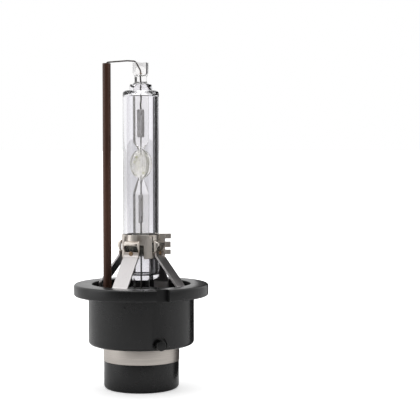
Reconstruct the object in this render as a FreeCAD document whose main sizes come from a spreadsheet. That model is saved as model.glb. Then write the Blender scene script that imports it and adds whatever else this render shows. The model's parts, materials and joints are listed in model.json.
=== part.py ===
"""Xenon discharge headlight bulb, D2 style, in millimetres.

The lamp axis is Z, with the burner up. The origin is on the axis, in the reference plane,
which is the top face of the flange. Front is -Y. An azimuth of 0 degrees is the front (-Y),
and it grows towards the right (+X).
"""
import FreeCAD, Part
import math
import os

import Sketcher

Vector = FreeCAD.Vector
Rotation = FreeCAD.Rotation
Placement = FreeCAD.Placement

# ---------------------------------------------------------------- driving dimensions

SIZES = {
    # base shell: flange, open well and round body
    "flange_radius": 15.4,
    "flange_top": 0.0,
    "flange_bottom": -2.7,
    "flange_rounding": 0.45,
    "body_radius": 12.08,
    "body_bottom": -13.9,
    "body_rounding": 0.9,
    "well_radius": 11.3,
    "floor_top": -9.0,
    "floor_bottom": -10.5,
    "floor_bore": 3.2,
    "rear_bore": 8.32,
    "notch_width": 2.9,
    "notch_depth": 1.6,
    "recess_radius": 1.75,
    "recess_depth": 0.7,
    # bayonet pins
    "pin_radius": 1.13,
    "pin_inner_end": 9.6,
    "pin_outer_end": 13.3,
    "pin_height": -12.6,
    # rear cap and its socket
    "cap_radius": 8.6,
    "cap_top": -10.52,
    "cap_bottom": -24.0,
    "cap_rounding": 1.4,
    "neck_radius": 8.28,
    "socket_radius": 6.9,
    "socket_top": -13.5,
    "post_radius": 2.6,
    "post_bottom": -15.5,
    "post_bore": 0.92,
    "lead_bore": 0.4,
    # contact band round the neck
    "band_inner": 8.3,
    "band_outer": 8.7,
    "band_top": -13.95,
    "band_bottom": -17.6,
    # insulating sleeve round the lower stem
    "sleeve_bore": 1.95,
    "sleeve_foot": 3.18,
    "sleeve_radius": 4.2,
    "sleeve_seat": -8.98,
    "sleeve_bottom": -10.48,
    "sleeve_top": -1.2,
    # centre contact
    "contact_bore": 0.22,
    "contact_stub": 0.9,
    "contact_stub_top": -13.55,
    "contact_collar": 2.0,
    "contact_collar_top": -15.52,
    "contact_collar_bottom": -16.0,
    "contact_radius": 1.25,
    "contact_shoulder": -21.0,
    "contact_nose": 0.8,
    "contact_bottom": -21.5,
    # arc tube: oval bulb between two round stems, cut open at the top
    "stem_radius": 1.86,
    "stem_bottom": -7.0,
    "lower_stem_top": 22.5,
    "lower_neck": 23.5,
    "upper_neck": 31.2,
    "upper_stem_bottom": 32.2,
    "stem_neck_radius": 1.05,
    "stem_top": 45.5,
    "throat_radius": 1.5,
    "throat_bottom": 45.7,
    "throat_top": 47.4,
    "open_tube_bottom": 47.9,
    "open_tube_radius": 1.8,
    "open_tube_top": 50.3,
    "open_tube_bore": 1.35,
    "open_tube_floor": 47.0,
    "bulb_centre": 27.3,
    "bulb_radius": 2.55,
    "bulb_half_height": 3.15,
    "chamber_radius": 1.4,
    "chamber_half_height": 3.3,
    # metal parts sealed in the stems
    "electrode_radius": 0.15,
    "lower_electrode_tip": 25.0,
    "upper_electrode_tip": 29.2,
    "foil_width": 1.6,
    "foil_thickness": 0.05,
    "foil_clearance": 0.02,
    "lower_foil_bottom": 13.9,
    "lower_foil_top": 20.3,
    "upper_foil_bottom": 33.4,
    "upper_foil_top": 39.7,
    "lead_radius": 0.16,
    "lead_passage": 0.22,
    "upper_lead_top": 47.7,
    "salt_radius": 0.28,
    # outer envelope, fused on the stems at both ends
    "envelope_radius": 4.125,
    "envelope_inner": 3.25,
    "envelope_bore": 1.88,
    "envelope_bottom": 0.9,
    "envelope_inner_bottom": 1.9,
    "envelope_inner_top": 43.1,
    "envelope_top": 44.0,
    "shoulder_radius": 2.5,
    "shoulder_top": 45.4,
    "envelope_bottom_rounding": 2.0,
    "envelope_top_rounding": 1.5,
    "envelope_inner_rounding": 1.0,
    # return wire and its ceramic tube
    "wire_radius": 0.17,
    "wire_offset": 8.1,
    "wire_bottom": -16.4,
    "wire_corner": 50.2,
    "wire_bend_offset": 1.3,
    "wire_bend": 50.65,
    "wire_drop": 48.5,
    "wire_end": 48.1,
    "wire_passage": 0.25,
    "ceramic_radius": 0.93,
    "ceramic_bore": 0.3,
    "ceramic_bottom": -10.3,
    "ceramic_top": 50.0,
    # clamp ring
    "clamp_blank_inner": 3.6,
    "clamp_inner": 4.15,
    "clamp_outer": 4.43,
    "clamp_top": 11.3,
    "clamp_bottom": 5.9,
    "wide_slot_top": 8.9,
    "narrow_slot_top": 11.0,
    "wide_slot": 0.9,
    "narrow_slot": 0.25,
    "hood_width": 3.9,
    "hood_inner_width": 3.34,
    "hood_root_top": 10.05,
    "hood_crest": 10.0,
    "hood_crest_radius": 5.0,
    "hood_lip_radius": 5.3,
    "hood_brow": 9.7,
    "hood_lip": 8.95,
    "hood_heel_radius": 4.97,
    "hood_heel": 7.3,
    "hood_sheet": 0.28,
    "ear_outer": 5.75,
    "ear_thickness": 0.5,
    "ear_bottom": 6.3,
    "tooth_outer": 6.96,
    "tooth_thickness": 0.3,
    # support legs
    "leg_width": 3.8,
    "leg_inner": 4.45,
    "leg_thickness": 0.45,
    "leg_top": 7.15,
    "leg_bend": 6.0,
    "leg_foot": 9.75,
    "leg_foot_bend": -0.3,
    "leg_bottom": -11.5,
    "leg_slot_clearance": 0.04,
    # welds
    "spot_radius": 0.44,
    "spot_thickness": 0.1,
    "spot_height": 6.67,
    "tip_bead_radius": 0.3,
    "return_bead_radius": 0.19,
    "return_bead_bottom": -16.8,
    "centre_bead_radius": 0.5,
    "centre_bead_nose": 0.25,
    "centre_bead_bottom": -21.8,
}

# Azimuths in degrees.
LEG_AZIMUTHS = {"front_leg": -25.0, "right_leg": 65.0, "rear_leg": 155.0, "left_leg": -115.0}
WIDE_SLOT_LEAD = 32.5       # the slots beside a tongue stand this far round from a hood
NARROW_SLOT_LEAD = 62.0
EAR_AZIMUTH = 97.0
WIRE_AZIMUTH = -68.0
NOTCH_AZIMUTH = 21.3
PIN_AZIMUTHS = (22.8, 202.8)
UPPER_FOIL_AZIMUTH = 46.0
LOWER_FOIL_AZIMUTH = 64.0
TOOTH_HEIGHTS = ((10.1, 11.3), (8.1, 9.5), (6.3, 7.4))
SALT_PLACES = ((-42.0, 0.9, 28.75), (-58.0, 1.05, 27.7), (150.0, 0.75, 25.4))   # azimuth, radius, height
OVERSHOOT = 1.0             # how far a cutting tool runs past the face that it cuts
CUT_CLEAR = 0.02            # small clearance round a held piece, and overlap of fused sheets
EDGE_MATCH = 0.005          # how closely an edge has to lie where it is looked for

doc = FreeCAD.newDocument("headlight_bulb")
sheet = doc.addObject("Spreadsheet::Sheet", "Sizes")
for row, (alias, number) in enumerate(SIZES.items(), start=1):
    sheet.set("A%d" % row, alias)
    sheet.set("B%d" % row, str(number))
    sheet.setAlias("B%d" % row, alias)
doc.recompute()

SUB_PARTS = []


# ---------------------------------------------------------------- helpers

def cell(place):
    """Number and expression of a place: a number, an alias, or (alias, extra)."""
    if isinstance(place, (int, float)):
        return float(place), str(float(place))
    if isinstance(place, tuple):
        alias, extra = place
        return SIZES[alias] + extra, "Sizes.%s + %s" % (alias, extra)
    if place.startswith("-"):
        return -SIZES[place[1:]], "-Sizes." + place[1:]
    return SIZES[place], "Sizes." + place


def facing(azimuth):
    """Rotation that turns the +X direction to an azimuth about the lamp axis."""
    return Rotation(Vector(0, 0, 1), azimuth - 90.0)


def bind(item, **places):
    """Bind properties of a document object to places in the sheet."""
    for name, place in places.items():
        item.setExpression(name, cell(place)[1])
    return item


def span(item, name, low, high):
    """Bind a length to the distance between two places."""
    item.setExpression(name, "(%s) - (%s)" % (cell(high)[1], cell(low)[1]))
    return item


def sub_part(item, label, azimuth=None):
    """Register a document object as one named piece of the lamp."""
    item.Label = label
    if azimuth is not None:
        item.Placement = Placement(Vector(0, 0, 0), facing(azimuth))
    SUB_PARTS.append(item)
    return item


def new_body(name):
    return doc.addObject("PartDesign::Body", name)


def outline(body, name, corners, plane="XZ_Plane", offset=None):
    """Closed outline of straight edges in a body, each corner bound to two places."""
    sketch = body.newObject("Sketcher::SketchObject", name)
    origin_plane = [item for item in body.Origin.OriginFeatures if item.Role == plane][0]
    sketch.AttachmentSupport = [(origin_plane, "")]
    sketch.MapMode = "FlatFace"
    if offset is not None:
        sketch.AttachmentOffset = offset
    points = [Vector(cell(across)[0], cell(up)[0], 0) for across, up in corners]
    count = len(points)
    for index in range(count):
        sketch.addGeometry(Part.LineSegment(points[index], points[(index + 1) % count]), False)
    for index in range(count):
        sketch.addConstraint(Sketcher.Constraint("Coincident", index, 2, (index + 1) % count, 1))
    for index, pair in enumerate(corners):
        for kind, place in zip(("DistanceX", "DistanceY"), pair):
            number, expression = cell(place)
            added = sketch.addConstraint(Sketcher.Constraint(kind, -1, 1, index, 1, number))
            sketch.setExpression("Constraints[%d]" % added, expression)
    return sketch


def revolve(body, corners):
    """Full turn of a (radius, height) outline about the lamp axis."""
    sketch = outline(body, body.Name + "_outline", corners)
    turned = body.newObject("PartDesign::Revolution", body.Name + "_turned")
    turned.Profile = sketch
    turned.ReferenceAxis = (sketch, ["V_Axis"])
    turned.Angle = 360.0
    doc.recompute()
    return turned


def round_edges(body, base, places, size):
    """Fillet the circular edges at the given (radius, height) places."""
    names = []
    for number, edge in enumerate(base.Shape.Edges, start=1):
        curve = edge.Curve
        if not isinstance(curve, Part.Circle):
            continue
        for radius, height in places:
            on_radius = abs(curve.Radius - cell(radius)[0]) < EDGE_MATCH
            if on_radius and abs(curve.Center.z - cell(height)[0]) < EDGE_MATCH:
                names.append("Edge%d" % number)
    fillet = body.newObject("PartDesign::Fillet", "%s_%s" % (body.Name, size))
    fillet.Base = (base, names)
    bind(fillet, Radius=size)
    doc.recompute()
    return fillet


def thicken(body, sketch, name, length, kind="PartDesign::Pad"):
    """Pad or pocket a sketch evenly to both sides of its plane."""
    feature = body.newObject(kind, name)
    feature.Profile = sketch
    feature.SideType = "Symmetric"
    bind(feature, Length=length)
    doc.recompute()
    return feature


def repeat_round(body, originals, name, count):
    """Repeat features evenly about the lamp axis and make the result the body's tip."""
    axis = [item for item in body.Origin.OriginFeatures if item.Role == "Z_Axis"][0]
    pattern = body.newObject("PartDesign::PolarPattern", name)
    pattern.Originals = originals
    pattern.Axis = (axis, [""])
    pattern.Angle = 360.0
    pattern.Occurrences = count
    body.Tip = pattern
    doc.recompute()
    return pattern


def cylinder(name, radius, low, high, distance=0.0, azimuth=0.0):
    """Upright cylinder between two heights, on the lamp axis or at a distance from it."""
    item = span(bind(doc.addObject("Part::Cylinder", name), Radius=radius), "Height", low, high)
    place = facing(azimuth).multVec(Vector(cell(distance)[0], 0, cell(low)[0]))
    item.Placement = Placement(place, Rotation())
    return item


def radial_cylinder(name, radius, inner, outer, height, azimuth):
    """Cylinder that lies along a radius, between two distances from the axis."""
    item = span(bind(doc.addObject("Part::Cylinder", name), Radius=radius), "Height", inner, outer)
    place = facing(azimuth).multVec(Vector(cell(inner)[0], 0, cell(height)[0]))
    along_radius = facing(azimuth).multiply(Rotation(Vector(0, 1, 0), 90))
    item.Placement = Placement(place, along_radius)
    return item


def cone(name, low_radius, high_radius, low, high):
    """Upright cone frustum on the lamp axis."""
    item = bind(doc.addObject("Part::Cone", name), Radius1=low_radius, Radius2=high_radius)
    span(item, "Height", low, high)
    item.Placement.Base = Vector(0, 0, cell(low)[0])
    return item


def radial_box(name, inner, outer, width, low, high, azimuth):
    """Box between two distances from the axis, centred across an azimuth."""
    item = bind(doc.addObject("Part::Box", name), Width=width)
    span(item, "Length", inner, outer)
    span(item, "Height", low, high)
    corner = Vector(cell(inner)[0], -cell(width)[0] / 2, cell(low)[0])
    item.Placement = Placement(facing(azimuth).multVec(corner), facing(azimuth))
    return item


def fuse(name, items):
    item = doc.addObject("Part::MultiFuse", name)
    item.Shapes = items
    return item


def cut(name, base, tools):
    item = doc.addObject("Part::Cut", name)
    item.Base = base
    item.Tool = tools[0] if len(tools) == 1 else fuse(name + "_tools", tools)
    return item


def group(name, items):
    item = doc.addObject("Part::Compound", name)
    item.Links = items
    return item


# ---------------------------------------------------------------- base and cap

def make_base_shell():
    """Flange, open well and round body in one moulding, with its notch, slots and holes."""
    body = new_body("base_moulding")
    turned = revolve(body, [
        ("floor_bore", "floor_top"), ("well_radius", "floor_top"),
        ("well_radius", "flange_top"), ("flange_radius", "flange_top"),
        ("flange_radius", "flange_bottom"), ("body_radius", "flange_bottom"),
        ("body_radius", "body_bottom"), ("rear_bore", "body_bottom"),
        ("rear_bore", "floor_bottom"), ("floor_bore", "floor_bottom"),
    ])
    rim = [("flange_radius", "flange_top"), ("flange_radius", "flange_bottom")]
    rounded = round_edges(body, turned, rim, "flange_rounding")
    round_edges(body, rounded, [("body_radius", "body_bottom")], "body_rounding")
    tools = [radial_box("notch", ("flange_radius", -SIZES["notch_depth"]),
                        ("flange_radius", OVERSHOOT), "notch_width",
                        ("flange_bottom", -CUT_CLEAR), ("flange_top", CUT_CLEAR), NOTCH_AZIMUTH)]
    clear = SIZES["leg_slot_clearance"]
    for name, azimuth in LEG_AZIMUTHS.items():
        tools.append(radial_box(name + "_slot", ("leg_foot", -clear),
                                ("leg_foot", SIZES["leg_thickness"] + clear),
                                ("leg_width", 2 * clear), ("leg_bottom", -clear),
                                ("floor_top", CUT_CLEAR), azimuth))
    tools.append(cylinder("ceramic_hole", ("ceramic_radius", CUT_CLEAR), ("floor_bottom", -OVERSHOOT),
                          ("floor_top", OVERSHOOT), "wire_offset", WIRE_AZIMUTH))
    for number, azimuth in enumerate(PIN_AZIMUTHS):
        recess_floor = ("body_radius", -SIZES["recess_depth"])
        tools.append(radial_cylinder("recess_%d" % number, "recess_radius", recess_floor,
                                     ("body_radius", OVERSHOOT), "pin_height", azimuth))
        tools.append(radial_cylinder("pin_hole_%d" % number, ("pin_radius", CUT_CLEAR),
                                     ("pin_inner_end", -CUT_CLEAR), ("body_radius", OVERSHOOT),
                                     "pin_height", azimuth))
    sub_part(cut("base_cut", body, tools), "base_shell")


def make_bayonet_pins():
    """Two round pins in the foot of the body, which the connector's bayonet ring locks on."""
    pins = []
    for number, azimuth in enumerate(PIN_AZIMUTHS):
        shank = radial_cylinder("pin_%d" % number, "pin_radius", "pin_inner_end",
                                "pin_outer_end", "pin_height", azimuth)
        pins.append(shank)
    sub_part(group("pins", pins), "bayonet_pins")


def make_rear_cap():
    """Black cap with the rear socket, a post for the centre contact and a neck for the band."""
    body = new_body("cap_moulding")
    turned = revolve(body, [
        ("lead_bore", "cap_top"), ("neck_radius", "cap_top"),
        ("neck_radius", "band_bottom"), ("cap_radius", "band_bottom"),
        ("cap_radius", "cap_bottom"), ("socket_radius", "cap_bottom"),
        ("socket_radius", "socket_top"), ("post_radius", "socket_top"),
        ("post_radius", "post_bottom"), ("post_bore", "post_bottom"),
        ("post_bore", "socket_top"), ("lead_bore", "socket_top"),
    ])
    round_edges(body, turned, [("cap_radius", "cap_bottom")], "cap_rounding")
    groove = cylinder("wire_groove", "wire_passage", ("return_bead_bottom", -CUT_CLEAR),
                      ("cap_top", OVERSHOOT), "wire_offset", WIRE_AZIMUTH)
    sub_part(cut("cap_cut", body, [groove]), "rear_cap")


def make_contact_band():
    """Sheet-steel ring, the lamp's outer contact."""
    body = new_body("band")
    revolve(body, [("band_inner", "band_bottom"), ("band_outer", "band_bottom"),
                   ("band_outer", "band_top"), ("band_inner", "band_top")])
    sub_part(body, "contact_band")


def make_insulating_sleeve():
    """Stepped sleeve that stands in the floor's bore, round the lower stem."""
    body = new_body("sleeve")
    revolve(body, [
        ("sleeve_bore", "sleeve_bottom"), ("sleeve_foot", "sleeve_bottom"),
        ("sleeve_foot", "sleeve_seat"), ("sleeve_radius", "sleeve_seat"),
        ("sleeve_radius", "sleeve_top"), ("sleeve_bore", "sleeve_top"),
    ])
    sub_part(body, "insulating_sleeve")


def make_centre_contact():
    """High-voltage pin in the rear socket, with a collar against the cap's post."""
    body = new_body("contact")
    revolve(body, [
        ("contact_bore", "contact_stub_top"), ("contact_stub", "contact_stub_top"),
        ("contact_stub", "contact_collar_top"), ("contact_collar", "contact_collar_top"),
        ("contact_collar", "contact_collar_bottom"), ("contact_radius", "contact_collar_bottom"),
        ("contact_radius", "contact_shoulder"), ("contact_nose", "contact_bottom"),
        ("contact_bore", "contact_bottom"),
    ])
    sub_part(body, "centre_contact")


# ---------------------------------------------------------------- burner

def make_arc_tube():
    """Quartz bulb between two stems, with clearances for the metal sealed inside."""
    body = new_body("stems")
    revolve(body, [
        (0.0, "stem_bottom"), ("stem_radius", "stem_bottom"),
        ("stem_radius", "lower_stem_top"), ("stem_neck_radius", "lower_neck"),
        ("stem_neck_radius", "upper_neck"), ("stem_radius", "upper_stem_bottom"),
        ("stem_radius", "stem_top"), ("throat_radius", "throat_bottom"),
        ("throat_radius", "throat_top"), ("open_tube_radius", "open_tube_bottom"),
        ("open_tube_radius", "open_tube_top"), (0.0, "open_tube_top"),
    ])
    bulb = bind(doc.addObject("Part::Ellipsoid", "bulb"), Radius1="bulb_half_height",
                Radius2="bulb_radius", Radius3="bulb_radius")
    bulb.Placement.Base = Vector(0, 0, SIZES["bulb_centre"])
    chamber = bind(doc.addObject("Part::Ellipsoid", "chamber"), Radius1="chamber_half_height",
                   Radius2="chamber_radius", Radius3="chamber_radius")
    chamber.Placement.Base = Vector(0, 0, SIZES["bulb_centre"])
    tools = [
        chamber,
        cylinder("lead_passage", "lead_passage", ("stem_bottom", -OVERSHOOT),
                 ("open_tube_top", OVERSHOOT)),
        cylinder("open_tube_bore", "open_tube_bore", "open_tube_floor",
                 ("open_tube_top", OVERSHOOT)),
        make_foil("upper_foil_pocket", "upper_foil_bottom", "upper_foil_top",
                  UPPER_FOIL_AZIMUTH, True),
        make_foil("lower_foil_pocket", "lower_foil_bottom", "lower_foil_top",
                  LOWER_FOIL_AZIMUTH, True),
    ]
    sub_part(cut("arc_tube_cut", fuse("arc_tube_outside", [body, bulb]), tools), "arc_tube")


def make_foil(name, low, high, azimuth, is_pocket):
    """Foil on the axis whose broad side faces an azimuth, or the pocket that it lies in."""
    extra = SIZES["foil_clearance"] if is_pocket else 0.0
    half = SIZES["foil_thickness"] / 2 + extra
    return radial_box(name, -half, half, ("foil_width", 2 * extra), (low, -extra), (high, extra),
                      azimuth)


def make_sealed_metal():
    """Foils, electrodes and lead wires, end to end on the lamp axis."""
    sub_part(make_foil("foil_up", "upper_foil_bottom", "upper_foil_top", UPPER_FOIL_AZIMUTH,
                       False), "upper_foil")
    sub_part(make_foil("foil_low", "lower_foil_bottom", "lower_foil_top", LOWER_FOIL_AZIMUTH,
                       False), "lower_foil")
    sub_part(cylinder("electrode_up", "electrode_radius", "upper_electrode_tip",
                      "upper_foil_bottom"), "upper_electrode")
    sub_part(cylinder("electrode_low", "electrode_radius", "lower_foil_top",
                      "lower_electrode_tip"), "lower_electrode")
    sub_part(cylinder("lead_up", "lead_radius", "upper_foil_top", "upper_lead_top"),
             "upper_lead_wire")
    sub_part(cylinder("lead_low", "lead_radius", "contact_bottom", "lower_foil_bottom"),
             "lower_lead_wire")


def make_salt():
    """Beads of metal halide near the wall of the arc chamber."""
    beads = []
    for number, (azimuth, ring, height) in enumerate(SALT_PLACES):
        bead = bind(doc.addObject("Part::Sphere", "salt_%d" % number), Radius="salt_radius")
        bead.Placement.Base = facing(azimuth).multVec(Vector(ring, 0, height))
        beads.append(bead)
    sub_part(group("salt", beads), "halide_salt")


def make_outer_envelope():
    """Outer bulb of clear quartz, closed on the stems at its shoulder and at its foot."""
    body = new_body("envelope")
    turned = revolve(body, [
        ("envelope_bore", "envelope_bottom"), ("envelope_radius", "envelope_bottom"),
        ("envelope_radius", "envelope_top"), ("shoulder_radius", "envelope_top"),
        ("shoulder_radius", "shoulder_top"), ("envelope_bore", "shoulder_top"),
        ("envelope_bore", "envelope_inner_top"), ("envelope_inner", "envelope_inner_top"),
        ("envelope_inner", "envelope_inner_bottom"), ("envelope_bore", "envelope_inner_bottom"),
    ])
    foot = round_edges(body, turned, [("envelope_radius", "envelope_bottom")],
                       "envelope_bottom_rounding")
    dome = round_edges(body, foot, [("envelope_radius", "envelope_top")],
                       "envelope_top_rounding")
    inside = [("envelope_inner", "envelope_inner_top"),
              ("envelope_inner", "envelope_inner_bottom")]
    round_edges(body, dome, inside, "envelope_inner_rounding")
    sub_part(body, "outer_envelope")


# ---------------------------------------------------------------- return path

def make_return_wire():
    """Wire from the contact band, up through the ceramic tube and over to the tip."""
    body = new_body("wire")
    route = [("wire_offset", "wire_bottom"), ("wire_offset", "wire_corner"),
             ("wire_bend_offset", "wire_bend"), (0.0, "wire_drop"), (0.0, "wire_end")]
    spine = body.newObject("Sketcher::SketchObject", "wire_route")
    upright = [item for item in body.Origin.OriginFeatures if item.Role == "XZ_Plane"][0]
    spine.AttachmentSupport = [(upright, "")]
    spine.MapMode = "FlatFace"
    points = [Vector(cell(across)[0], cell(up)[0], 0) for across, up in route]
    for index in range(len(points) - 1):
        spine.addGeometry(Part.LineSegment(points[index], points[index + 1]), False)
    for index in range(len(points) - 2):
        spine.addConstraint(Sketcher.Constraint("Coincident", index, 2, index + 1, 1))
    for index, pair in enumerate(route):
        line, end = (index, 1) if index < len(points) - 1 else (index - 1, 2)
        for kind, place in zip(("DistanceX", "DistanceY"), pair):
            number, expression = cell(place)
            added = spine.addConstraint(Sketcher.Constraint(kind, -1, 1, line, end, number))
            spine.setExpression("Constraints[%d]" % added, expression)
    section = body.newObject("Sketcher::SketchObject", "wire_section")
    level = [item for item in body.Origin.OriginFeatures if item.Role == "XY_Plane"][0]
    section.AttachmentSupport = [(level, "")]
    section.MapMode = "FlatFace"
    section.AttachmentOffset = Placement(Vector(0, 0, SIZES["wire_bottom"]), Rotation())
    centre = Vector(SIZES["wire_offset"], 0, 0)
    section.addGeometry(Part.Circle(centre, Vector(0, 0, 1), SIZES["wire_radius"]), False)
    for kind, place in (("DistanceX", "wire_offset"), ("DistanceY", 0.0)):
        number, expression = cell(place)
        added = section.addConstraint(Sketcher.Constraint(kind, -1, 1, 0, 3, number))
        section.setExpression("Constraints[%d]" % added, expression)
    added = section.addConstraint(Sketcher.Constraint("Radius", 0, SIZES["wire_radius"]))
    section.setExpression("Constraints[%d]" % added, "Sizes.wire_radius")
    doc.recompute()
    pipe = body.newObject("PartDesign::AdditivePipe", "wire_run")
    pipe.Profile = section
    pipe.Spine = spine
    pipe.Transition = "Round corner"
    doc.recompute()
    sub_part(body, "return_wire", WIRE_AZIMUTH)


def make_ceramic_tube():
    """Ceramic tube that insulates the upright run of the return wire."""
    outside = cylinder("ceramic_outside", "ceramic_radius", "ceramic_bottom", "ceramic_top",
                       "wire_offset", WIRE_AZIMUTH)
    bore = cylinder("ceramic_bore", "ceramic_bore", ("ceramic_bottom", -OVERSHOOT),
                    ("ceramic_top", OVERSHOOT), "wire_offset", WIRE_AZIMUTH)
    sub_part(cut("ceramic_cut", outside, [bore]), "ceramic_tube")


# ---------------------------------------------------------------- clamp and legs

def make_clamp_ring():
    """Sheet-metal band with four hoods over the legs, four tongues and a toothed ear."""
    body = new_body("clamp")
    revolve(body, [("clamp_blank_inner", "clamp_bottom"), ("clamp_outer", "clamp_bottom"),
                   ("clamp_outer", "clamp_top"), ("clamp_blank_inner", "clamp_top")])
    hood_outline = outline(body, "hood_outline", [
        ("clamp_blank_inner", "hood_heel"), ("clamp_blank_inner", "hood_root_top"),
        ("clamp_outer", "hood_root_top"), ("hood_crest_radius", "hood_crest"),
        ("hood_lip_radius", "hood_brow"), ("hood_lip_radius", "hood_lip"),
        ("hood_heel_radius", "hood_heel"),
    ])
    hood = thicken(body, hood_outline, "hood", "hood_width")
    metal = SIZES["hood_sheet"]
    inside = ("clamp_blank_inner", -OVERSHOOT)
    hollow_outline = outline(body, "hood_hollow_outline", [
        (inside, "hood_heel"), (inside, ("hood_crest", -metal)),
        (("hood_crest_radius", -metal / 2), ("hood_crest", -metal)),
        (("hood_lip_radius", -metal), ("hood_brow", -metal / 2)),
        (("hood_lip_radius", -metal), ("hood_lip", -CUT_CLEAR)),
        (("hood_lip_radius", OVERSHOOT), ("hood_lip", -CUT_CLEAR)),
        (("hood_lip_radius", OVERSHOOT), ("hood_heel", -OVERSHOOT)),
        (("clamp_outer", CUT_CLEAR), ("hood_heel", -OVERSHOOT)),
        (("clamp_outer", CUT_CLEAR), "hood_heel"),
    ])
    hollow = thicken(body, hollow_outline, "hood_hollow", "hood_inner_width", "PartDesign::Pocket")
    repeat_round(body, [hood, hollow], "hoods", len(LEG_AZIMUTHS))
    body.Placement = Placement(Vector(0, 0, 0), facing(LEG_AZIMUTHS["right_leg"]))
    pieces = [body, radial_box("ear", ("clamp_outer", -metal), "ear_outer", "ear_thickness",
                               "ear_bottom", "clamp_top", EAR_AZIMUTH)]
    for number, (low, high) in enumerate(TOOTH_HEIGHTS):
        pieces.append(radial_box("tooth_%d" % number, ("ear_outer", -metal), "tooth_outer",
                                 "tooth_thickness", low, high, EAR_AZIMUTH))
    tools = [cylinder("clamp_bore", "clamp_inner", ("clamp_bottom", -OVERSHOOT),
                      ("clamp_top", OVERSHOOT))]
    for name, azimuth in LEG_AZIMUTHS.items():
        for side, lead in (("wide", WIDE_SLOT_LEAD), ("narrow", NARROW_SLOT_LEAD)):
            tools.append(radial_box("%s_%s_slot" % (name, side), inside, "hood_crest_radius",
                                    side + "_slot", ("clamp_bottom", -OVERSHOOT),
                                    side + "_slot_top", azimuth + lead))
    sub_part(cut("clamp_cut", fuse("clamp_fused", pieces), tools), "clamp_ring")


def make_support_legs():
    """Four bent straps that carry the clamp ring and stand in the base."""
    rise = SIZES["leg_bend"] - SIZES["leg_foot_bend"]
    run = SIZES["leg_foot"] - SIZES["leg_inner"]
    strap = SIZES["leg_thickness"]
    mitre = strap * math.tan(math.atan2(run, rise) / 2)
    for label, azimuth in LEG_AZIMUTHS.items():
        body = new_body(label + "_strap")
        side = outline(body, label + "_side", [
            ("leg_inner", "leg_top"), ("leg_inner", "leg_bend"),
            ("leg_foot", "leg_foot_bend"), ("leg_foot", "leg_bottom"),
            (("leg_foot", strap), "leg_bottom"), (("leg_foot", strap), ("leg_foot_bend", mitre)),
            (("leg_inner", strap), ("leg_bend", mitre)), (("leg_inner", strap), "leg_top"),
        ])
        thicken(body, side, label + "_width", "leg_width")
        sub_part(body, label, azimuth)


# ---------------------------------------------------------------- welds

def make_welds():
    """Spot welds on the legs and the three beads that join the wires."""
    face = SIZES["leg_thickness"]
    spots = [radial_cylinder(name + "_spot", "spot_radius", ("leg_inner", face),
                             ("leg_inner", face + SIZES["spot_thickness"]), "spot_height", azimuth)
             for name, azimuth in LEG_AZIMUTHS.items()]
    sub_part(group("spots", spots), "weld_spots")
    sub_part(cylinder("tip_bead", "tip_bead_radius", "upper_lead_top", "wire_end"), "tip_weld")
    sub_part(cylinder("return_bead", "return_bead_radius", "return_bead_bottom", "wire_bottom",
                      "wire_offset", WIRE_AZIMUTH), "return_weld")
    sub_part(cone("centre_bead", "centre_bead_nose", "centre_bead_radius", "centre_bead_bottom",
                  "contact_bottom"), "centre_weld")


# ---------------------------------------------------------------- build, check and write

make_base_shell()
make_bayonet_pins()
make_rear_cap()
make_contact_band()
make_insulating_sleeve()
make_centre_contact()
make_arc_tube()
make_sealed_metal()
make_salt()
make_outer_envelope()
make_return_wire()
make_ceramic_tube()
make_clamp_ring()
make_support_legs()
make_welds()
doc.recompute()

for item in doc.Objects:
    if "Invalid" in item.State or "Error" in item.State:
        raise RuntimeError("%s failed: %s" % (item.Label, item.State))

os.makedirs("parts", exist_ok=True)
for item in SUB_PARTS:
    shape = item.Shape
    if shape.isNull() or not shape.isValid():
        raise RuntimeError("%s has no valid shape" % item.Label)
    print("%-18s solids %d  volume %9.3f mm3" % (item.Label, len(shape.Solids), shape.Volume))
    shape.exportStep("parts/%s.step" % item.Label)
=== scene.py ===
"""Looks of a xenon discharge headlight bulb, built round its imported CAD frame.

Everything is in metres in the CAD frame: the lamp axis is Z, the reference plane is Z = 0,
front is -Y. Azimuths are in degrees, 0 at the front and growing towards the right (+X).
"""
import json
import math
import random

import bmesh
import bpy
from mathutils import Matrix, Vector, noise


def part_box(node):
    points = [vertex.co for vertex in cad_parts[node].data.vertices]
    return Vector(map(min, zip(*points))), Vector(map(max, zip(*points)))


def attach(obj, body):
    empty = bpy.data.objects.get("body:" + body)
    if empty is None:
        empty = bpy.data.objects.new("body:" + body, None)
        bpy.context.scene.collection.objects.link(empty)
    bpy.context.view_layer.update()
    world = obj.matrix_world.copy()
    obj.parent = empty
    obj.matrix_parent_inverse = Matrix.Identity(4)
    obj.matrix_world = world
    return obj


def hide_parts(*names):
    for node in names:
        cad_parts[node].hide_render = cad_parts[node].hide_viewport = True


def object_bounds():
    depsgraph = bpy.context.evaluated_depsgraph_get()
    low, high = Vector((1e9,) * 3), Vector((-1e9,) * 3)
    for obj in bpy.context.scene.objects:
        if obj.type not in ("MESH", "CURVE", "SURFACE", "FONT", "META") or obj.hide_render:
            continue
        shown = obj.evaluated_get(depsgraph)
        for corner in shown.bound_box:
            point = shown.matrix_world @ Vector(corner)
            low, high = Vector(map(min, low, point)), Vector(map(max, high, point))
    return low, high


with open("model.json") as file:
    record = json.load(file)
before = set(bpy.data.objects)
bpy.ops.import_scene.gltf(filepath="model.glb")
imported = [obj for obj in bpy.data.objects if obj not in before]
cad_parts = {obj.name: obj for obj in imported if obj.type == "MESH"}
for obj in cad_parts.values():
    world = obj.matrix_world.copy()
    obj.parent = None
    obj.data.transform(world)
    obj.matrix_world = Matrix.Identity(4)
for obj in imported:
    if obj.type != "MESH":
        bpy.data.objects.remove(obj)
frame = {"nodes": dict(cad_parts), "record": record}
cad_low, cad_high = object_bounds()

MM = 0.001
ROUND = 96                      # segments of a turned piece
NODES = frame["nodes"]


# ---------------------------------------------------------------- small geometry helpers

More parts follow.
